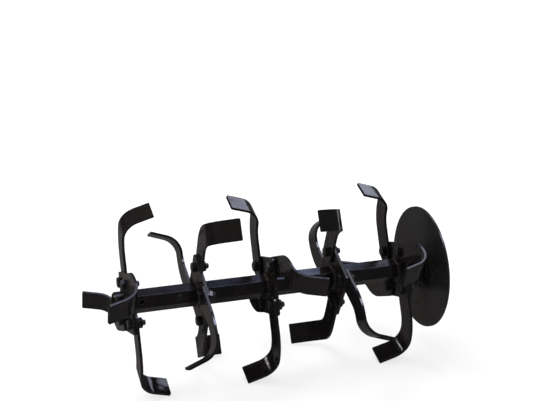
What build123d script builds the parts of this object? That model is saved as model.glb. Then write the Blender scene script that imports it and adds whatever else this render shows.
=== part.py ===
from build123d import *
import math
import os

os.makedirs("parts", exist_ok=True)

# One half of a rotary tiller's digging rotor: a hexagonal tube shaft with five flange
# plates, four curved tines bolted to each, a round hub at the drive end and a flat guard
# disc at the outer end.
# Millimetres. +X runs along the shaft from the hub's mouth to the disc, +Z is up, and the
# origin is on the shaft's axis at the hub's mouth. An azimuth is an angle about +X,
# counted from straight up towards -Y.

# Shaft and hub
TUBE_ACROSS_FLATS = 40.0
TUBE_WALL = 4.0
TUBE_FLAT_AZIMUTH = 15.0       # where one of the six flats faces
HUB_OVER_FLATS = 6.0           # the hub's outer diameter, over the tube's width
HUB_BORE_D = 32.0
HUB_LENGTH = 24.0
HUB_CHAMFER = 3.0
PIN_HOLE_D = 8.5
PIN_HOLE_FROM_FLANGE = 24.5    # hub pin hole, past the first flange

# Flange plates
SET_COUNT = 5
SET_SPACING = 140.0
FIRST_SET_X = 27.0
FLANGE_THICKNESS = 6.0
FLANGE_SIDE = 113.0
FLANGE_CORNER_R = 8.0
STAGGER = 45.0                 # every second set is turned by this angle

# Tines
BAR_WIDTH = 42.0
BAR_THICKNESS = 5.0
BAR_CORNER_R = 2.5
ROOT_CORNER_R = 16.0
ROOT_HEADING = 40.0            # the bar's lean from the bolt's radial line
ROOT_BEHIND_BOLT = 20.0        # straight root inside the bolt
ROOT_BEYOND_BOLT = 52.0        # straight root from the bolt to the curve
CURVE_R = 64.0                 # edgewise curve, at the bar's centre line
CURVE_ANGLE = 42.0
BEND_R = 39.0                  # flatwise bend, at the bar's mid thickness
BEND_ANGLE = 71.0
BLADE_LENGTH = 33.0            # straight blade after the bend

# Tine bolts
BOLT_RADIUS = 52.0             # bolt circle about the shaft
BOLT_D = 12.0
BOLT_CLEARANCE = 0.6           # over the diameter of every bolt, in its hole
HEAD_ACROSS_FLATS = 18.0
HEAD_HEIGHT = 7.5
NUT_HEIGHT = 10.0
BOLT_TAIL = 6.0                # thread that stands out of the nut

# Cross pins that lock the shaft's inner extension
CROSS_PIN_D = 8.0
CROSS_PIN_HEAD_D = 13.0
CROSS_PIN_HEAD_H = 2.5
CROSS_PIN_BEFORE_FLANGE = 42.0
CROSS_PIN_SETS = (2, 4)

# Guard disc
DISC_RADIUS = 125.0
DISC_THICKNESS = 4.0
DISC_FROM_LAST_SET = 52.5
END_FLANGE_RIM = 11.0          # beyond the bolt circle
END_FLANGE_THICKNESS = 5.0
DISC_BOLT_COUNT = 4
DISC_BOLT_D = 8.0
DISC_BOLT_HEAD_D = 18.0
DISC_BOLT_HEAD_H = 3.0
DISC_NUT_ACROSS_FLATS = 13.0
DISC_NUT_HEIGHT = 6.5

# Which way each tine's blade points: +1 towards the disc, -1 towards the hub. The columns
# are the four arms of a set, a quarter turn apart, from the one that points up.
BLADE_SIDES = {
    1: (+1, -1, +1, -1),
    2: (+1, -1, +1, -1),
    3: (-1, +1, -1, +1),
    4: (-1, +1, -1, +1),
    5: (-1, -1, -1, -1),
}
ARMS = "abcd"

# Derived sizes
HUB_OUTER_D = TUBE_ACROSS_FLATS + HUB_OVER_FLATS
BOLT_HOLE_D = BOLT_D + BOLT_CLEARANCE
DISC_BOLT_HOLE_D = DISC_BOLT_D + BOLT_CLEARANCE
# The first whole millimetre at which the disc's nuts clear the tube's corners.
DISC_BOLT_CIRCLE_R = math.ceil((TUBE_ACROSS_FLATS + DISC_NUT_ACROSS_FLATS) / math.sqrt(3))
END_FLANGE_R = DISC_BOLT_CIRCLE_R + END_FLANGE_RIM
SET_X = {k: FIRST_SET_X + (k - 1) * SET_SPACING for k in range(1, SET_COUNT + 1)}
DISC_X = SET_X[SET_COUNT] + DISC_FROM_LAST_SET
TUBE_END_X = DISC_X - END_FLANGE_THICKNESS
HALF_BAR = BAR_WIDTH / 2
BAR_FROM_MIDDLE = FLANGE_THICKNESS / 2
CURVE_RAD = math.radians(CURVE_ANGLE)
BEND_RAD = math.radians(BEND_ANGLE)


def on_curve(radius, angle):
    """A point of the edgewise curve, from the bolt: along the root, and sideways."""
    return ROOT_BEYOND_BOLT + radius * math.sin(angle), CURVE_R - radius * math.cos(angle)


def tip_azimuth():
    """How far past its bolt a blade's outermost corner is, about the shaft."""
    reach = (BEND_R + BAR_THICKNESS / 2) * math.sin(BEND_RAD) + BLADE_LENGTH * math.cos(BEND_RAD)
    along, side = on_curve(CURVE_R + HALF_BAR, CURVE_RAD)
    along += reach * math.cos(CURVE_RAD)
    side += reach * math.sin(CURVE_RAD)
    heading = math.radians(ROOT_HEADING)
    outwards = BOLT_RADIUS + along * math.cos(heading) - side * math.sin(heading)
    return math.degrees(math.atan2(along * math.sin(heading) + side * math.cos(heading), outwards))


# The rotor lies on two rows of tip corners, one row from each stagger, at equal heights.
BOLT_AZIMUTH = {k: -tip_azimuth() + (-STAGGER / 2 if k % 2 else STAGGER / 2) for k in SET_X}


def hexagon(across_flats):
    """A hexagon in the plane across the shaft, with a flat facing straight up."""
    return RegularPolygon(across_flats / 2, 6, major_radius=False, rotation=30)


def across(x):
    """The plane across the shaft at x: its own x is up, and its own y is -Y."""
    return Plane(origin=(x, 0, 0), x_dir=(0, 0, 1), z_dir=(1, 0, 0))


def bar_along(sketch, x, length):
    return extrude(across(x) * sketch, length)


def turned(shape, azimuth):
    return Rot(azimuth, 0, 0) * shape


def make_tube():
    """The hexagonal tube, with the hub's pin hole and the cross pins' holes."""
    start = HUB_LENGTH
    outer = bar_along(hexagon(TUBE_ACROSS_FLATS), start, TUBE_END_X - start)
    inner = bar_along(hexagon(TUBE_ACROSS_FLATS - 2 * TUBE_WALL), start, TUBE_END_X - start)
    tube = turned(outer - inner, TUBE_FLAT_AZIMUTH)
    holes = [(SET_X[1] + PIN_HOLE_FROM_FLANGE, PIN_HOLE_D)]
    for k in CROSS_PIN_SETS:
        holes.append((SET_X[k] - CROSS_PIN_BEFORE_FLANGE, CROSS_PIN_D))
    for x, diameter in holes:
        drill = Pos(x, 0, 0) * Cylinder(diameter / 2, 2 * TUBE_ACROSS_FLATS)
        tube -= turned(drill, TUBE_FLAT_AZIMUTH + 60)
    return tube


def make_hub():
    """The round hub, welded to the tube's end."""
    hub = bar_along(Circle(HUB_OUTER_D / 2) - Circle(HUB_BORE_D / 2), 0, HUB_LENGTH)
    mouth = hub.edges().filter_by(GeomType.CIRCLE).group_by(Axis.X)[0].sort_by(SortBy.RADIUS)
    return chamfer(mouth[-1], HUB_CHAMFER)


def make_flange(k):
    """A square plate with a tine bolt in each corner."""
    square = RectangleRounded(FLANGE_SIDE, FLANGE_SIDE, FLANGE_CORNER_R)
    blank = bar_along(Rot(0, 0, 45) * square, SET_X[k] - FLANGE_THICKNESS / 2, FLANGE_THICKNESS)
    for arm in range(4):
        drill = bar_along(Pos(BOLT_RADIUS, 0) * Circle(BOLT_HOLE_D / 2), SET_X[k] - 20, 40)
        blank -= turned(drill, 90 * arm)
    bore = bar_along(hexagon(TUBE_ACROSS_FLATS), SET_X[k] - 20, 40)
    return turned(blank, BOLT_AZIMUTH[k]) - turned(bore, TUBE_FLAT_AZIMUTH)


def make_tine():
    """A tine with its bolt at azimuth 0 on the flange at x 0, and its blade towards the disc.

    The flat bar's straight root lies along one side of the flange. The bar then curves
    edgewise in the flange's plane, and bends flatwise into the blade.
    """
    outer_r, inner_r = CURVE_R + HALF_BAR, CURVE_R - HALF_BAR
    outer_start, inner_start = on_curve(outer_r, 0), on_curve(inner_r, 0)
    outer_end, inner_end = on_curve(outer_r, CURVE_RAD), on_curve(inner_r, CURVE_RAD)
    outer_root, inner_root = (-ROOT_BEHIND_BOLT, -HALF_BAR), (-ROOT_BEHIND_BOLT, HALF_BAR)
    outline = [
        Line(outer_root, outer_start),
        ThreePointArc(outer_start, on_curve(outer_r, CURVE_RAD / 2), outer_end),
        Line(outer_end, inner_end),
        ThreePointArc(inner_end, on_curve(inner_r, CURVE_RAD / 2), inner_start),
        Line(inner_start, inner_root),
        Line(inner_root, outer_root),
    ]
    flat = make_face(Wire(outline))
    flat = fillet(flat.vertices().group_by(Axis.X)[0], ROOT_CORNER_R) - Circle(BOLT_HOLE_D / 2)
    on_flange = Plane.XY * Pos(BOLT_RADIUS, 0) * Rot(0, 0, ROOT_HEADING)
    shank = bar_along(on_flange * flat, BAR_FROM_MIDDLE, BAR_THICKNESS)

    # The bend and the blade are one side profile, drawn across the bar's width.
    def on_bend(radius, angle, blade=0.0):
        return (
            radius * math.sin(angle) + blade * math.cos(angle),
            low_r - radius * math.cos(angle) + blade * math.sin(angle),
        )

    low_r, high_r = BEND_R + BAR_THICKNESS / 2, BEND_R - BAR_THICKNESS / 2
    low_tip, high_tip = (on_bend(r, BEND_RAD, BLADE_LENGTH) for r in (low_r, high_r))
    low_end, high_end = on_bend(low_r, BEND_RAD), on_bend(high_r, BEND_RAD)
    profile = [
        ThreePointArc((0, 0), on_bend(low_r, BEND_RAD / 2), low_end),
        Line(low_end, low_tip),
        Line(low_tip, high_tip),
        Line(high_tip, high_end),
        ThreePointArc(high_end, on_bend(high_r, BEND_RAD / 2), (0, BAR_THICKNESS)),
        Line((0, BAR_THICKNESS), (0, 0)),
    ]
    start = on_flange * Pos(*inner_end) * Rot(0, 0, CURVE_ANGLE)
    side_on = across(BAR_FROM_MIDDLE) * start * Rot(90, 0, 0)
    blade = extrude(side_on * make_face(Wire(profile)), BAR_WIDTH)
    corners = blade.edges().filter_by(lambda edge: abs(edge.length - BAR_THICKNESS) < 0.01)
    return shank + fillet(corners.group_by(Axis.X)[-1], BAR_CORNER_R)


def make_bolts(k):
    """Four hexagon bolts with their heads towards the hub, over the tines' roots."""
    solids = []
    for arm, side in enumerate(BLADE_SIDES[k]):
        low = SET_X[k] - FLANGE_THICKNESS / 2 - (BAR_THICKNESS if side < 0 else 0)
        grip = FLANGE_THICKNESS + BAR_THICKNESS
        hexagonal = Pos(BOLT_RADIUS, 0) * hexagon(HEAD_ACROSS_FLATS)
        head = bar_along(hexagonal, low - HEAD_HEIGHT, HEAD_HEIGHT)
        round_bar = Pos(BOLT_RADIUS, 0) * Circle(BOLT_D / 2)
        stem = bar_along(round_bar, low - 1, 1 + grip + NUT_HEIGHT + BOLT_TAIL)
        solids.append(turned(head + stem, BOLT_AZIMUTH[k] + 90 * arm))
    return Compound(solids)


def make_nuts(k):
    solids = []
    for arm, side in enumerate(BLADE_SIDES[k]):
        high = SET_X[k] + FLANGE_THICKNESS / 2 + (BAR_THICKNESS if side > 0 else 0)
        sketch = hexagon(HEAD_ACROSS_FLATS) - Circle(BOLT_D / 2 + 0.05)
        nut = bar_along(Pos(BOLT_RADIUS, 0) * sketch, high, NUT_HEIGHT)
        solids.append(turned(nut, BOLT_AZIMUTH[k] + 90 * arm))
    return Compound(solids)


def make_cross_pin(k):
    """A riveted pin right through the tube, with a low round head on each flat."""
    grip = TUBE_ACROSS_FLATS / 2
    pin = Cylinder(CROSS_PIN_D / 2 - 0.05, 2 * grip + 1)
    for end in (-1, 1):
        head = Cylinder(CROSS_PIN_HEAD_D / 2, CROSS_PIN_HEAD_H)
        pin += Pos(0, 0, end * (grip + CROSS_PIN_HEAD_H / 2)) * head
    rims = pin.edges().filter_by(GeomType.CIRCLE).group_by(Axis.Z)
    pin = chamfer(rims[0] + rims[-1], CROSS_PIN_HEAD_H / 2)
    return turned(Pos(SET_X[k] - CROSS_PIN_BEFORE_FLANGE, 0, 0) * pin, TUBE_FLAT_AZIMUTH + 60)


def disc_holes():
    return PolarLocations(DISC_BOLT_CIRCLE_R, DISC_BOLT_COUNT, start_angle=45)


def make_end_flange():
    """The small round flange welded over the tube's end."""
    sketch = Circle(END_FLANGE_R)
    for spot in disc_holes():
        sketch -= spot * Circle(DISC_BOLT_HOLE_D / 2)
    return bar_along(sketch, TUBE_END_X, END_FLANGE_THICKNESS)


def make_disc():
    sketch = Circle(DISC_RADIUS)
    for spot in disc_holes():
        sketch -= spot * Circle(DISC_BOLT_HOLE_D / 2)
    return bar_along(sketch, DISC_X, DISC_THICKNESS)


def make_disc_bolts():
    """Low round-headed bolts from outside, with hexagon nuts on the inner flange."""
    solids = []
    top = DISC_X + DISC_THICKNESS
    for spot in disc_holes():
        head = bar_along(spot * Circle(DISC_BOLT_HEAD_D / 2), top, DISC_BOLT_HEAD_H)
        rim = head.edges().filter_by(GeomType.CIRCLE).group_by(Axis.X)[-1]
        head = chamfer(rim, DISC_BOLT_HEAD_H / 2)
        nut_x = TUBE_END_X - DISC_NUT_HEIGHT
        stem = bar_along(spot * Circle(DISC_BOLT_D / 2), nut_x - 3, top - nut_x + 3.5)
        nut = bar_along(spot * hexagon(DISC_NUT_ACROSS_FLATS), nut_x, DISC_NUT_HEIGHT)
        solids.append(head + stem + nut)
    return Compound(solids)


nodes = {
    "shaft_tube": make_tube(),
    "hub": make_hub(),
    "end_flange": make_end_flange(),
    "guard_disc": make_disc(),
    "disc_bolts": make_disc_bolts(),
}
for k in CROSS_PIN_SETS:
    nodes[f"cross_pin_{k}"] = make_cross_pin(k)

tine = {+1: make_tine()}
tine[-1] = mirror(tine[+1], Plane.YZ)
for k, sides in BLADE_SIDES.items():
    nodes[f"flange_{k}"] = make_flange(k)
    nodes[f"tine_bolts_{k}"] = make_bolts(k)
    nodes[f"tine_nuts_{k}"] = make_nuts(k)
    for arm, side in enumerate(sides):
        placed = Pos(SET_X[k], 0, 0) * turned(tine[side], BOLT_AZIMUTH[k] + 90 * arm)
        nodes[f"tine_{k}{ARMS[arm]}"] = placed

for name, shape in nodes.items():
    export_step(shape, f"parts/{name}.step")
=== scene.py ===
import bmesh
import bpy
import math
import random
from mathutils import Euler, Matrix, Vector, noise


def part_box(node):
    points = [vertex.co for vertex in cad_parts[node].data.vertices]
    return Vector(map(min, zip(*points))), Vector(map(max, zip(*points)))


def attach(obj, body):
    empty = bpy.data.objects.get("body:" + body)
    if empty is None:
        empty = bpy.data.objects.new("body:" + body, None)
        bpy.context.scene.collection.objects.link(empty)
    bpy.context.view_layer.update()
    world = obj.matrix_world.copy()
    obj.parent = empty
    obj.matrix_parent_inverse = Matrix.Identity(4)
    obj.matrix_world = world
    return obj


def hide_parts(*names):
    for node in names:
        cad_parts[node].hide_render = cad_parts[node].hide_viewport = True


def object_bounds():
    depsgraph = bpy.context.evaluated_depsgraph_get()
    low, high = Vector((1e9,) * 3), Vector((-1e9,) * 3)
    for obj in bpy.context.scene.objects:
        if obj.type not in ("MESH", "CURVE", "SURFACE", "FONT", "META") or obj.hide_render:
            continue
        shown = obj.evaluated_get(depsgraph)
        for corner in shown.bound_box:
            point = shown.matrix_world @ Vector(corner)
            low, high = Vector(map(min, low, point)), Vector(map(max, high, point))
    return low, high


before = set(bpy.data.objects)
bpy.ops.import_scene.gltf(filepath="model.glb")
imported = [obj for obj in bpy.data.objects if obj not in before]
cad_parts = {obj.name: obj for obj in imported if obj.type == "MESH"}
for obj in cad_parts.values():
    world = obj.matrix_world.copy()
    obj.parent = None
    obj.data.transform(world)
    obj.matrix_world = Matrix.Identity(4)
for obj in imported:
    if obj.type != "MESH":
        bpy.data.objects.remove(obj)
cad_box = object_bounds()

# Metres throughout, in the part's own frame: +X along the shaft from the hub to the guard
# disc, +Z up, and the origin on the shaft's axis at the hub's mouth. An azimuth about the
# shaft is counted from straight up towards -Y, in radians.
MM = 0.001
SETS = range(1, 6)
FLOOR_Z = cad_box[0].z

# ---------------------------------------------------------------- sizes not in the frame
TUBE_FLATS = 40.0 * MM

# M12 tine bolts and nuts
BOLT_R = 6.0 * MM
BOLT_PITCH = 1.75 * MM
BOLT_THREAD = 16.0 * MM       # thread that shows, from the bolt's end
HEX_FLATS = 18.0 * MM
HEAD_HEIGHT = 7.5 * MM
WASHER_FACE = 0.5 * MM        # the thin round face under a forged head
WASHER_FACE_R = 0.46 * HEX_FLATS
WASHER_R = 10.4 * MM
WASHER_T = 2.5 * MM
NUT_TURN = 0.3                # the nuts of each flange stop at an angle of their own
WASHER_TURN = 1.9

# M8 bolts through the guard disc
DISC_BOLT_R = 4.0 * MM
DISC_BOLT_PITCH = 1.25 * MM
DISC_NUT_FLATS = 13.0 * MM
DISC_NUT_HEIGHT = 6.5 * MM    # with the washer under it
DISC_BOLT_TAIL = 3.0 * MM
DISC_HEAD_HEIGHT = 3.0 * MM
DISC_WASHER_R = 8.0 * MM
DISC_WASHER_T = 1.6 * MM

# Welds
WELD_LEG = 5.0 * MM
WELD_RIPPLE = 2.4 * MM        # one puddle of the weld every so far along the bead
WELD_SINK = 0.3 * MM          # the bead starts under the skin of what it joins
SPATTER_BEADS = 46            # round each flange
SPATTER_ON_PLATE = 0.45       # share of them that stuck to the plate, not the tube


# ---------------------------------------------------------------- materials
def linear(code):
    """An sRGB hex colour as linear RGBA."""
    parts = [int(code[i:i + 2], 16) / 255 for i in (1, 3, 5)]
    return (*[c / 12.92 if c <= 0.04045 else ((c + 0.055) / 1.055) ** 2.4 for c in parts], 1.0)


def add(tree, kind, inputs=None, **settings):
    """Adds a node with its settings; an input is a value, or the output that feeds it."""
    node = tree.nodes.new(kind)
    for key, value in settings.items():
        setattr(node, key, value)
    for key, value in (inputs or {}).items():
        if isinstance(value, bpy.types.NodeSocket):
            tree.links.new(value, node.inputs[key])
        else:
            node.inputs[key].default_value = value
    return node


def new_material(name):
    material = bpy.data.materials.new(name)
    material.use_nodes = True
    material.node_tree.nodes.clear()
    return material, material.node_tree


def fade(tree, measure, start, end, low, high, **settings):
    """A colour that goes from low to high as a measure goes from start to end. Each colour
    is linear RGBA or an output."""
    share = add(tree, "ShaderNodeMapRange",
                {"Value": measure, "From Min": start, "From Max": end}, **settings)
    mix = add(tree, "ShaderNodeMix", {0: share.outputs[0], 6: low, 7: high}, data_type="RGBA")
    return mix.outputs[2]


def enamel(name, deep, thin, edge, gloss, peel, swell):
    """Gloss black enamel, sprayed over bare steel: a near-black film with a wet shine, the
    faint lumps of orange peel, soft clouds where it went on thin, and a paler line on every
    edge, partly paint drawn back thin there and partly a painted highlight for the light on
    the rounded rims. gloss is the least and most roughness, peel the width and
    height of its lumps, and swell the height of the slow waves that rolling and bending
    left in the steel, which bend what the gloss mirrors. Both are in millimetres."""
    material, tree = new_material(name)
    place = add(tree, "ShaderNodeTexCoord").outputs["Object"]
    clouds = add(tree, "ShaderNodeTexNoise",
                 {"Vector": place, "Scale": 1 / (45 * MM), "Detail": 4.0, "Roughness": 0.6})
    film = fade(tree, clouds.outputs["Fac"], 0.35, 0.72, linear(deep), linear(thin))

    # Where the rounded normal leaves the flat one, the film is stretched over an edge, and the
    # paler colour there is partly that wear and partly a painted highlight.
    rounded = add(tree, "ShaderNodeBevel", {"Radius": 1.5 * MM}, samples=8)
    flat = add(tree, "ShaderNodeNewGeometry")
    turn = add(tree, "ShaderNodeVectorMath",
               {0: rounded.outputs["Normal"], 1: flat.outputs["Normal"]}, operation="DOT_PRODUCT")
    edge_wear_and_highlight_share = add(tree, "ShaderNodeMapRange",
               {"Value": turn.outputs["Value"], "From Min": 0.98, "From Max": 0.80})
    patchy = add(tree, "ShaderNodeTexNoise",
                 {"Vector": place, "Scale": 1 / (9 * MM), "Detail": 3.0, "Roughness": 0.7})
    patchy_wear_and_highlight = add(tree, "ShaderNodeMath",
               {0: edge_wear_and_highlight_share.outputs["Result"], 1: patchy.outputs["Fac"]}, operation="MULTIPLY")
    # The paler edge colour mixed in here is partly wear and partly a painted highlight on the
    # rims.
    colour = add(tree, "ShaderNodeMix",
                 {0: patchy_wear_and_highlight.outputs["Value"], 6: film, 7: linear(edge)}, data_type="RGBA")

    # Overspray and handling leave dull patches in the shine.
    dull = add(tree, "ShaderNodeTexNoise",
               {"Vector": place, "Scale": 1 / (18 * MM), "Detail": 5.0, "Roughness": 0.65})
    shine = add(tree, "ShaderNodeMapRange",
                {"Value": dull.outputs["Fac"], "From Min": 0.3, "From Max": 0.75,
                 "To Min": gloss[0], "To Max": gloss[1]})

    rolled = add(tree, "ShaderNodeTexNoise",
                 {"Vector": place, "Scale": 1 / (24 * MM), "Detail": 1.0, "Roughness": 0.5})
    waves = add(tree, "ShaderNodeBump",
                {"Height": rolled.outputs["Fac"], "Normal": rounded.outputs["Normal"],
                 "Distance": swell * MM, "Strength": 1.0})
    sprayed = add(tree, "ShaderNodeTexNoise",
                  {"Vector": place, "Scale": 1 / (peel[0] * MM), "Detail": 1.5, "Roughness": 0.5})
    lumps = add(tree, "ShaderNodeBump",
                {"Height": sprayed.outputs["Fac"], "Normal": waves.outputs["Normal"],
                 "Distance": peel[1] * MM, "Strength": 1.0})
    skin = add(tree, "ShaderNodeBsdfPrincipled",
               {"Base Color": colour.outputs[2], "Roughness": shine.outputs["Result"],
                "Normal": lumps.outputs["Normal"], "IOR": 1.5})
    add(tree, "ShaderNodeOutputMaterial", {"Surface": skin.outputs["BSDF"]})
    return material


def weld_metal(name):
    """A weld bead under the same enamel: the film pools between the ripples and leaves the
    crests brighter, with grains of slag that dull it."""
    material, tree = new_material(name)
    place = add(tree, "ShaderNodeTexCoord").outputs["Object"]
    grain = add(tree, "ShaderNodeTexNoise",
                {"Vector": place, "Scale": 1 / (1.6 * MM), "Detail": 4.0, "Roughness": 0.7})
    film = fade(tree, grain.outputs["Fac"], 0.45, 0.75, linear("#0c0b0c"), linear("#37332f"))
    shine = add(tree, "ShaderNodeMapRange",
                {"Value": grain.outputs["Fac"], "From Min": 0.3, "From Max": 0.7,
                 "To Min": 0.16, "To Max": 0.42})
    lumps = add(tree, "ShaderNodeBump",
                {"Height": grain.outputs["Fac"], "Distance": 0.25 * MM, "Strength": 0.8})
    skin = add(tree, "ShaderNodeBsdfPrincipled",
               {"Base Color": film, "Roughness": shine.outputs["Result"],
                "Normal": lumps.outputs["Normal"], "IOR": 1.5})
    add(tree, "ShaderNodeOutputMaterial", {"Surface": skin.outputs["BSDF"]})
    return material


# The edge colours are partly paint worn thin on the edges and partly a painted highlight for the
# light on the rims.
TINE_ENAMEL = enamel("tine_gloss_enamel", deep="#0e0c0f", thin="#181516", edge="#3b3a3c",
                     gloss=(0.07, 0.19), peel=(2.6, 0.03), swell=1.0)
SHAFT_ENAMEL = enamel("shaft_gloss_enamel", deep="#0e0b0d", thin="#181414", edge="#3b3a3c",
                      gloss=(0.09, 0.24), peel=(2.2, 0.04), swell=0.35)
FLANGE_ENAMEL = enamel("flange_gloss_enamel", deep="#0c0b0b", thin="#1b1916", edge="#454340",
                       gloss=(0.14, 0.36), peel=(2.0, 0.05), swell=0.6)
DISC_ENAMEL = enamel("disc_gloss_enamel", deep="#191819", thin="#201f20", edge="#3b3a3c",
                     gloss=(0.18, 0.30), peel=(6.0, 0.015), swell=0.25)
BOLT_ENAMEL = enamel("bolt_thin_enamel", deep="#0c0c0d", thin="#1c1b1d", edge="#6a696c",
                     gloss=(0.12, 0.30), peel=(1.2, 0.03), swell=0.2)
WELD_ENAMEL = weld_metal("enamelled_weld")


# ---------------------------------------------------------------- meshes
def object_from(name, bm, material, smooth=True):
    """An object in the scene from a bmesh, which it uses up."""
    mesh = bpy.data.meshes.new(name)
    bm.to_mesh(mesh)
    bm.free()
    mesh.polygons.foreach_set("use_smooth", [smooth] * len(mesh.polygons))
    mesh.materials.append(material)
    made = bpy.data.objects.new(name, mesh)
    bpy.context.scene.collection.objects.link(made)
    return made


def piece_from(name, bm, material, sharp=30.0):
    """A finished piece from a bmesh: smooth, with edges over the given angle left sharp."""
    bmesh.ops.recalc_face_normals(bm, faces=bm.faces)
    piece = object_from(name, bm, material)
    piece.data.set_sharp_from_angle(angle=math.radians(sharp))
    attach(piece, "root")
    return piece


def solids_of(node):
    """The (lowest, highest) corners of each separate solid of a CAD node."""
    bm = bmesh.new()
    bm.from_mesh(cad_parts[node].data)
    bmesh.ops.remove_doubles(bm, verts=bm.verts, dist=1e-6)
    left, found = set(bm.verts), []
    while left:
        stack = [left.pop()]
        solid = list(stack)
        while stack:
            for edge in stack.pop().link_edges:
                for vert in edge.verts:
                    if vert in left:
                        left.remove(vert)
                        stack.append(vert)
                        solid.append(vert)
        corners = [[f(v.co[i] for v in solid) for i in range(3)] for f in (min, max)]
        found.append((Vector(corners[0]), Vector(corners[1])))
    bm.free()
    return found


def centre_of(solid):
    low, high = solid
    return Vector((0, (low.y + high.y) / 2, (low.z + high.z) / 2))


def azimuth_of(point):
    return math.atan2(-point.y, point.z)


def outwards(azimuth):
    return Vector((0, -math.sin(azimuth), math.cos(azimuth)))


def turns(steps, start=0.0):
    """The azimuths of a number of even steps round an axis."""
    return [start + 2 * math.pi * i / steps for i in range(steps)]


def rim_point(bm, centre, x, radius, azimuth):
    """A new point at a distance from the axis along +X that runs through centre."""
    return bm.verts.new((x, centre.y - radius * math.sin(azimuth),
                         centre.z + radius * math.cos(azimuth)))


def circle(bm, centre, x, radius, azimuths):
    """A ring of points, or one point on the axis where the radius is 0."""
    return [rim_point(bm, centre, x, radius, azimuth)
            for azimuth in (azimuths if radius else azimuths[:1])]


def join_rows(bm, rows, closed=True):
    """Faces between each row of points and the next; a row of one point is a tip."""
    for low, high in zip(rows, rows[1:]):
        count = max(len(low), len(high))
        for i in range(count if closed else count - 1):
            j = (i + 1) % count
            if len(low) == 1:
                bm.faces.new((low[0], high[j], high[i]))
            elif len(high) == 1:
                bm.faces.new((low[i], low[j], high[0]))
            else:
                bm.faces.new((low[i], low[j], high[j], high[i]))


def lathe(bm, profile, centre):
    """A turned shape from (x, radius) pairs; a radius of 0 closes an end."""
    join_rows(bm, [circle(bm, centre, x, radius, turns(40)) for x, radius in profile])


def hex_radius(flats, start):
    """The radius of a hexagon at an azimuth, with a flat centred on the start azimuth."""
    def radius(azimuth):
        turn = (azimuth - start + math.pi / 6) % (math.pi / 3) - math.pi / 6
        return flats / 2 / math.cos(turn)
    return radius


def hex_block(bm, centre, x_low, x_high, flats, start, cut_low, cut_high, hole=0.0):
    """A bolt head or nut: a hexagon whose cut ends follow the usual 30 degree cone."""
    azimuths = turns(48, start)
    across = hex_radius(flats, start)
    cone = 0.475 * flats

    def hexagon(x, side):
        """side is -1 at a cut low end, +1 at a cut high end and 0 at a plain end."""
        row = []
        for azimuth in azimuths:
            r = across(azimuth)
            back = max(0.0, r - cone) * math.tan(math.radians(30))
            row.append(rim_point(bm, centre, x - side * back, r, azimuth))
        return row

    rows = [circle(bm, centre, x_low, hole, azimuths)]
    if cut_low:
        rows += [circle(bm, centre, x_low, cone, azimuths), hexagon(x_low, -1)]
    else:
        rows += [hexagon(x_low, 0)]
    if cut_high:
        rows += [hexagon(x_high, 1), circle(bm, centre, x_high, cone, azimuths)]
    else:
        rows += [hexagon(x_high, 0)]
    rows += [circle(bm, centre, x_high, hole, azimuths)]
    if hole:
        rows += [rows[0]]
    join_rows(bm, rows)


def threaded_rod(bm, centre, base, tip, radius, pitch):
    """A rolled thread that ends in a short point chamfer, from its base to its tip in X."""
    steps, rows_per_turn = 28, 6
    depth = 0.61 * pitch
    length = abs(tip - base)
    count = max(2, round(length / pitch * rows_per_turn))
    rows = []
    for k in range(count + 1):
        along = length * k / count
        row = []
        for i, azimuth in enumerate(turns(steps)):
            wave = abs(2 * ((along / pitch - i / steps) % 1) - 1)
            r = radius - depth * min(1.0, 1.25 * wave)
            r = min(r, radius - 1.1 * pitch + (length - along))
            row.append(rim_point(bm, centre, base + (tip - base) * k / count, r, azimuth))
        rows.append(row)
    ends = [[rim_point(bm, centre, x, 0, 0)] for x in (tip, base)]
    join_rows(bm, [ends[1], *rows, ends[0]])


def lock_washer(bm, centre, x_low, start):
    """A split spring washer: one square-section turn, with a slanting gap."""
    steps, gap, slant = 40, 0.05, 0.06
    inner = BOLT_R * 1.03
    rows = []
    for i in range(steps + 1):
        azimuth = start + 2 * math.pi * (gap / 2 + (1 - gap) * i / steps)
        row = []
        for r, x in ((inner, 0.0), (WASHER_R, 0.0), (WASHER_R, WASHER_T), (inner, WASHER_T)):
            lean = slant * (x / WASHER_T - 0.5)
            row.append(rim_point(bm, centre, x_low + x, r, azimuth + lean))
        rows.append(row)
    join_rows(bm, rows)
    bm.faces.new(rows[0])
    bm.faces.new(list(reversed(rows[-1])))


# ---------------------------------------------------------------- tine bolts and nuts
def make_tine_bolts(k):
    """Forged hexagon bolts with a washer face under the head and a threaded tail."""
    bm = bmesh.new()
    for solid in solids_of(f"tine_bolts_{k}"):
        x_low, x_high = solid[0].x, solid[1].x
        centre = centre_of(solid)
        plate = x_low + HEAD_HEIGHT
        hex_block(bm, centre, x_low, plate - WASHER_FACE, HEX_FLATS, azimuth_of(centre),
                  True, False)
        lathe(bm, [(plate - 2 * WASHER_FACE, 0.0), (plate - 2 * WASHER_FACE, WASHER_FACE_R),
                   (plate, WASHER_FACE_R), (plate, 0.0)], centre)
        threaded_rod(bm, centre, x_high - BOLT_THREAD, x_high, BOLT_R, BOLT_PITCH)
    piece = piece_from(f"tine_bolts_{k}_forged", bm, BOLT_ENAMEL)
    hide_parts(f"tine_bolts_{k}")


def make_tine_nuts(k):
    """Hexagon nuts, each pulled down on a split lock washer."""
    nuts, washers = bmesh.new(), bmesh.new()
    for solid in solids_of(f"tine_nuts_{k}"):
        x_low, x_high = solid[0].x, solid[1].x
        centre = centre_of(solid)
        start = azimuth_of(centre)
        hex_block(nuts, centre, x_low + WASHER_T, x_high, HEX_FLATS,
                  start + NUT_TURN * (k % 3), True, True, hole=BOLT_R * 1.02)
        lock_washer(washers, centre, x_low, start + WASHER_TURN * k)
    piece = piece_from(f"tine_nuts_{k}_turned", nuts, BOLT_ENAMEL)
    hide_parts(f"tine_nuts_{k}")
    piece_from(f"lock_washers_{k}", washers, BOLT_ENAMEL)


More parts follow.
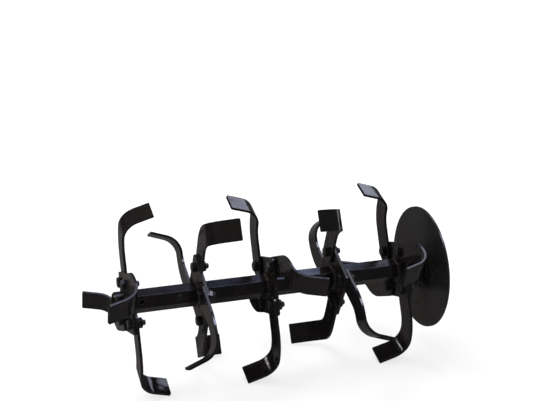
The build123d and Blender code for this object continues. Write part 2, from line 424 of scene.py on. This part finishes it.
# ---------------------------------------------------------------- disc bolts
def make_disc_bolts():
    """Low domed heads outside the disc, and nuts on washers inside the end flange."""
    bm = bmesh.new()
    for solid in solids_of("disc_bolts"):
        x_low, x_high = solid[0].x, solid[1].x
        centre = centre_of(solid)
        radius = (solid[1].y - solid[0].y) / 2
        base = x_high - DISC_HEAD_HEIGHT
        dome = [(base, 0.0), (base, radius)]
        for i in range(1, 8):
            lift = math.radians(90 * i / 8)
            dome.append((base + DISC_HEAD_HEIGHT * (0.25 + 0.75 * math.sin(lift)),
                         radius * math.cos(lift) ** 0.8))
        dome.append((x_high, 0.0))
        lathe(bm, dome, centre)

        nut_top = x_low + DISC_BOLT_TAIL
        seat = nut_top + DISC_NUT_HEIGHT
        lathe(bm, [(seat - DISC_WASHER_T, 0.0), (seat - DISC_WASHER_T, DISC_WASHER_R),
                   (seat, DISC_WASHER_R), (seat, 0.0)], centre)
        hex_block(bm, centre, nut_top, seat - DISC_WASHER_T, DISC_NUT_FLATS,
                  azimuth_of(centre), True, True)
        threaded_rod(bm, centre, nut_top + 1 * MM, x_low, DISC_BOLT_R, DISC_BOLT_PITCH)
    piece = piece_from("disc_bolts_domed", bm, BOLT_ENAMEL)
    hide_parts("disc_bolts")


# ---------------------------------------------------------------- welds
def weld_bead(bm, x, away, outline, seed):
    """A fillet weld in the corner between the shaft and a plate at x. away is +1 or -1,
    the side of the plate that it lies on, and outline is the shaft's radius at an azimuth.
    The bead swells and sinks with each puddle."""
    steps, across = 230, 7
    ring = [(outwards(azimuth), outline(azimuth)) for azimuth in turns(steps)]
    puddles = round(sum(distance for _, distance in ring) * 2 * math.pi / steps / WELD_RIPPLE)
    rows = []
    for i, (outward, distance) in enumerate(ring):
        wander = noise.noise(Vector((distance * 40, seed * 3.1, i * 0.06)))
        root = outward * (distance - WELD_SINK)
        row = []
        for j in range(across):
            slant = math.radians(90 * j / (across - 1))
            lag = 0.35 * math.sin(2 * slant)
            puddle = 0.5 + 0.5 * math.cos(2 * math.pi * (puddles * i / steps - lag))
            flat = 1 / (math.cos(slant) + math.sin(slant))
            full = flat + 0.28 * (1 - flat)
            size = WELD_LEG * (1 + 0.22 * wander) * full * (0.93 + 0.10 * puddle)
            along = size * math.cos(slant) - 0.2 * MM
            row.append(bm.verts.new(root + outward * size * math.sin(slant)
                                    + Vector((x + away * along, 0, 0))))
        rows.append(row)
    rows.append(rows[0])
    join_rows(bm, rows, closed=False)


def spatter(bm, spots, chance):
    """Beads of weld metal that flew off and stuck, half sunk in the surface."""
    for place, outward in spots:
        size = chance.uniform(0.35, 1.0) * MM
        turn = outward.to_track_quat("Z", "Y").to_matrix().to_4x4()
        flatten = Matrix.Diagonal((1, 1, chance.uniform(0.45, 0.8), 1))
        where = Matrix.Translation(place) @ turn @ flatten
        bmesh.ops.create_icosphere(bm, subdivisions=2, radius=size, matrix=where)


def tube_flat_azimuth():
    """The azimuth that one of the tube's flats faces, from its outermost corners."""
    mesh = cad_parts["shaft_tube"].data
    corner = max((v.co for v in mesh.vertices), key=lambda p: math.hypot(p.y, p.z))
    return azimuth_of(corner) + math.pi / 6


def spatter_spots(k, low_x, high_x, flat_azimuth, chance):
    """(place, direction that it faces) of each bead round flange k, on plate and tube."""
    tube = hex_radius(TUBE_FLATS, flat_azimuth)
    spots = []
    for _ in range(SPATTER_BEADS):
        azimuth = chance.uniform(0, 2 * math.pi)
        if chance.random() < SPATTER_ON_PLATE:
            side = chance.choice((-1, 1))
            reach = chance.uniform(29, 40) * MM
            x = high_x if side > 0 else low_x
            spots.append((Vector((x, 0, 0)) + outwards(azimuth) * reach, Vector((side, 0, 0))))
        else:
            side = chance.choice((-1, 1)) if k > 1 else 1
            x = high_x if side > 0 else low_x
            x += side * (4 + chance.expovariate(1 / 9)) * MM
            face = (azimuth - flat_azimuth + math.pi / 6) // (math.pi / 3)
            facing = outwards(flat_azimuth + face * math.pi / 3)
            spots.append((Vector((x, 0, 0)) + outwards(azimuth) * tube(azimuth), facing))
    return spots


def make_welds():
    """Fillets on both sides of each flange, with spatter, and one at the end flange."""
    chance = random.Random(7)
    flat_azimuth = tube_flat_azimuth()
    tube = hex_radius(TUBE_FLATS, flat_azimuth)
    hub_low, hub_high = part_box("hub")
    hub_radius = (hub_high.y - hub_low.y) / 2

    def round_tube(azimuth):
        """The tube, with its corners washed over by the weld."""
        return min(tube(azimuth), 0.565 * TUBE_FLATS)

    def hub(_):
        return hub_radius

    for k in SETS:
        low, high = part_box(f"flange_{k}")
        bm = bmesh.new()
        weld_bead(bm, high.x, 1, round_tube, 2 * k)
        weld_bead(bm, low.x, -1, hub if k == 1 else round_tube, 2 * k + 1)
        spatter(bm, spatter_spots(k, low.x, high.x, flat_azimuth, chance), chance)
        piece_from(f"flange_welds_{k}", bm, WELD_ENAMEL, sharp=75.0)
    bm = bmesh.new()
    weld_bead(bm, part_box("end_flange")[0].x, -1, round_tube, 31)
    piece_from("end_flange_weld", bm, WELD_ENAMEL, sharp=75.0)


# ---------------------------------------------------------------- finish of the CAD nodes
def finish_nodes():
    finishes = {"shaft": SHAFT_ENAMEL, "hub": SHAFT_ENAMEL, "end": FLANGE_ENAMEL,
                "flange": FLANGE_ENAMEL, "guard": DISC_ENAMEL, "tine": TINE_ENAMEL,
                "cross": BOLT_ENAMEL, "disc": BOLT_ENAMEL}
    for name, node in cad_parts.items():
        node.data.materials.clear()
        node.data.materials.append(finishes[name.split("_")[0]])


# ---------------------------------------------------------------- floor, light and camera
FLOOR_MIDDLE_X = 0.3
FLOOR_R = 9.0
SOFT = {"interpolation_type": "SMOOTHSTEP"}

# What the gloss mirrors is a dim hall, by azimuth from +Y towards +X and by height.
HALL_R = 12.0
HALL_LOW_LEFT = "#403d3a"
HALL_LOW_RIGHT = "#57565a"
HALL_TOP_LEFT = "#6c5f55"
HALL_TOP_RIGHT = "#6876a0"
HALL_FLOOR_FRONT = "#6e6b6c"
HALL_FLOOR_NEAR = "#65625f"
# Painted shade: a dark oval in the mirrored floor, partly the rotor's other half and partly the
# shadow under it.
HALL_FLOOR_OTHER_HALF_AND_PAINTED_SHADE = "#151314"      # where the rotor's other half stands
HALL_FLOOR_FAR = "#7b7877"
HALL_OTHER_HALF_AND_PAINTED_SHADE_OVAL = (0.27, 0.25, 0.15, 0.21)      # its middle and half widths, along X and Y
HALL_WINDOWS = (
    # azimuths and elevations that it spans and its soft edge, in degrees, colour and level
    (-160, -95, 4, 40, 8, "#6e675f", 1.0),
    (28.5, 32.5, 36, 78, 1.5, "#c5d3ff", 3.4),
    (39, 62, 22, 80, 3.0, "#e4e8ff", 2.6),
    (64, 84, -4, 12, 5.0, "#f4f2ff", 2.2),
    (0, 37, 58, 82, 3.0, "#d5dcff", 2.2),
    (110, 154, 53, 75, 4.0, "#dfe4ff", 12.0),
    (-56, -52, 24, 30, 2.0, "#fffaf2", 18.0),
)


def seen_plainly(tree):
    """1 for rays from the camera, off gloss and through glass, and 0 for light."""
    path = add(tree, "ShaderNodeLightPath")
    seen = path.outputs["Is Camera Ray"]
    for ray in ("Is Glossy Ray", "Is Transmission Ray"):
        seen = add(tree, "ShaderNodeMath", {0: seen, 1: path.outputs[ray]},
                   operation="MAXIMUM").outputs[0]
    return seen


def disc_mesh(radius, z):
    bm = bmesh.new()
    bmesh.ops.create_circle(bm, cap_ends=True, segments=64, radius=radius,
                            matrix=Matrix.Translation((FLOOR_MIDDLE_X, 0, z)))
    return bm


def make_floor():
    """A pale floor that looks white, plainly and in reflections, and keeps the shadow."""
    material, tree = new_material("pale_floor")
    lit = add(tree, "ShaderNodeBsdfDiffuse", {"Color": linear("#e6e6e6")})
    half_lit = add(tree, "ShaderNodeBsdfDiffuse", {"Color": linear("#8f8f8f")})
    place = add(tree, "ShaderNodeTexCoord").outputs["Object"]
    away = add(tree, "ShaderNodeVectorMath", {0: place}, operation="LENGTH")
    open_floor = add(tree, "ShaderNodeMapRange",
                     {"Value": away.outputs["Value"], "From Min": 0.5, "From Max": 1.8,
                      "To Min": 0.72, "To Max": 1.0}, **SOFT)
    glow = add(tree, "ShaderNodeEmission",
               {"Color": linear("#ffffff"), "Strength": open_floor.outputs["Result"]})
    white = add(tree, "ShaderNodeAddShader", {0: half_lit.outputs[0], 1: glow.outputs[0]})
    both = add(tree, "ShaderNodeMixShader",
               {0: seen_plainly(tree), 1: lit.outputs[0], 2: white.outputs[0]})
    add(tree, "ShaderNodeOutputMaterial", {"Surface": both.outputs[0]})
    object_from("floor", disc_mesh(FLOOR_R, FLOOR_Z - 0.2 * MM), material, smooth=False)


def glossy_only(name, bm, material, colour):
    """A glowing part of the stage that only reflections see."""
    tree = material.node_tree
    glow = add(tree, "ShaderNodeEmission", {"Color": colour})
    add(tree, "ShaderNodeOutputMaterial", {"Surface": glow.outputs[0]})
    stage = object_from(name, bm, material)
    stage.visible_camera = False
    stage.visible_diffuse = False
    stage.visible_shadow = False
    return stage


def between(tree, angle, low, high, soft):
    """1 where an angle lies between two others, falling to 0 over a soft edge. In degrees."""
    low, high, soft = (math.radians(limit) for limit in (low, high, soft))
    rise = add(tree, "ShaderNodeMapRange",
               {"Value": angle, "From Min": low - soft, "From Max": low + soft}, **SOFT)
    fall = add(tree, "ShaderNodeMapRange",
               {"Value": angle, "From Min": high + soft, "From Max": high - soft}, **SOFT)
    return add(tree, "ShaderNodeMath", {0: rise.outputs[0], 1: fall.outputs[0]},
               operation="MULTIPLY").outputs[0]


def make_hall():
    """The hall's walls: brown to the left, a cool skylight to the right, and tall windows
    behind."""
    material, tree = new_material("hall_tent")
    place = add(tree, "ShaderNodeTexCoord").outputs["Object"]
    way = add(tree, "ShaderNodeVectorMath", {0: place}, operation="NORMALIZE")
    across, ahead, up = add(tree, "ShaderNodeSeparateXYZ",
                            {"Vector": way.outputs["Vector"]}).outputs
    azimuth = add(tree, "ShaderNodeMath", {0: across, 1: ahead}, operation="ARCTAN2").outputs[0]
    elevation = add(tree, "ShaderNodeMath", {0: up}, operation="ARCSINE").outputs[0]
    low = fade(tree, across, -0.25, 0.45, linear(HALL_LOW_LEFT), linear(HALL_LOW_RIGHT), **SOFT)
    top = fade(tree, across, -0.25, 0.45, linear(HALL_TOP_LEFT), linear(HALL_TOP_RIGHT), **SOFT)
    colour = fade(tree, up, 0.35, 0.80, low, top, **SOFT)
    for left, right, bottom, head, soft, code, level in HALL_WINDOWS:
        inside = add(tree, "ShaderNodeMath",
                     {0: between(tree, azimuth, left, right, soft),
                      1: between(tree, elevation, bottom, head, soft)}, operation="MULTIPLY")
        shine = [c * level for c in linear(code)[:3]] + [1.0]
        colour = add(tree, "ShaderNodeMix", {0: inside.outputs[0], 6: colour, 7: shine},
                     data_type="RGBA").outputs[2]
    bm = bmesh.new()
    bmesh.ops.create_uvsphere(bm, u_segments=64, v_segments=32, radius=HALL_R)
    below = [v for v in bm.verts if v.co.z < -0.2 * HALL_R]
    bmesh.ops.delete(bm, geom=below, context="VERTS")
    glossy_only("hall_tent", bm, material, colour).location = (FLOOR_MIDDLE_X, 0, 0)


def make_hall_floor():
    """The hall's dull floor, darkest just behind the rotor, where an oval of painted shade stands
    for the rotor's other half and the shadow under it.
    """
    material, tree = new_material("hall_floor")
    place = add(tree, "ShaderNodeTexCoord").outputs["Object"]
    across, ahead, _ = add(tree, "ShaderNodeSeparateXYZ", {"Vector": place}).outputs
    middle_x, middle_y, half_x, half_y = HALL_OTHER_HALF_AND_PAINTED_SHADE_OVAL
    oval = add(tree, "ShaderNodeVectorMath",
               {0: place, 1: (1 / half_x, 1 / half_y, 0),
                2: (-middle_x / half_x, -middle_y / half_y, 0)}, operation="MULTIPLY_ADD")
    from_oval = add(tree, "ShaderNodeVectorMath", {0: oval.outputs["Vector"]},
                    operation="LENGTH").outputs["Value"]
    colour = linear(HALL_FLOOR_FRONT)
    for measure, start, end, code in (
            (ahead, -0.25, 0.15, HALL_FLOOR_NEAR),
            (ahead, 0.55, 1.3, HALL_FLOOR_FAR),
            # painted shade behind the rotor, for its other half and the shadow there
            (from_oval, 1.1, 0.8, HALL_FLOOR_OTHER_HALF_AND_PAINTED_SHADE),
            (across, -0.9, -1.8, HALL_LOW_LEFT)):
        colour = fade(tree, measure, start, end, colour, linear(code), **SOFT)
    glossy_only("hall_floor", disc_mesh(HALL_R, FLOOR_Z + 0.2 * MM), material, colour)


def make_world():
    """A surround that looks white, plainly and in reflections, and gives a dimmer light."""
    world = bpy.data.worlds.new("studio")
    bpy.context.scene.world = world
    world.use_nodes = True
    tree = world.node_tree
    tree.nodes.clear()
    dim = add(tree, "ShaderNodeBackground", {"Color": linear("#ffffff"), "Strength": 0.45})
    white = add(tree, "ShaderNodeBackground", {"Color": linear("#ffffff"), "Strength": 1.0})
    both = add(tree, "ShaderNodeMixShader",
               {0: seen_plainly(tree), 1: dim.outputs[0], 2: white.outputs[0]})
    add(tree, "ShaderNodeOutputWorld", {"Surface": both.outputs[0]})


def soft_box(name, offset, width, height, power):
    """A white lamp that faces the rotor's middle. What the gloss mirrors is the hall, so
    the lamp itself doesn't show in it."""
    middle = (cad_box[0] + cad_box[1]) / 2
    lamp = bpy.data.lights.new(name, "AREA")
    lamp.shape = "RECTANGLE"
    lamp.size, lamp.size_y = width, height
    lamp.energy = power
    box = bpy.data.objects.new(name, lamp)
    bpy.context.scene.collection.objects.link(box)
    box.location = middle + Vector(offset)
    box.rotation_euler = (middle - box.location).to_track_quat("-Z", "Y").to_euler()
    box.visible_glossy = False


def make_camera():
    """The camera stands in front, to the left of the hub and above, looking down the rotor."""
    turn, down, roll = math.radians(18.53), math.radians(17.81), math.radians(0.26)
    camera_data = bpy.data.cameras.new("camera")
    camera_data.lens = 69.48
    camera_data.sensor_width = 36.0
    camera_data.sensor_fit = "HORIZONTAL"
    camera_data.clip_end = 50.0
    camera = bpy.data.objects.new("camera", camera_data)
    bpy.context.scene.collection.objects.link(camera)
    camera.location = Vector((-295.1, -1787.9, 782.0)) * MM
    aim = Euler((math.pi / 2 - down, 0, -turn), "XYZ").to_matrix()
    camera.rotation_euler = (aim @ Matrix.Rotation(roll, 3, "Z")).to_euler()
    bpy.context.scene.camera = camera


finish_nodes()
for k in SETS:
    make_tine_bolts(k)
    make_tine_nuts(k)
make_disc_bolts()
make_welds()
make_floor()
make_hall()
make_hall_floor()
make_world()
soft_box("sky_box", (-0.3, 1.1, 1.9), 1.8, 1.2, 55)
soft_box("left_box", (-1.9, -0.3, 1.2), 1.0, 1.4, 18)
soft_box("front_box", (0.9, -1.9, 1.6), 0.5, 0.5, 8)
make_camera()
bpy.context.scene.view_settings.view_transform = "Standard"
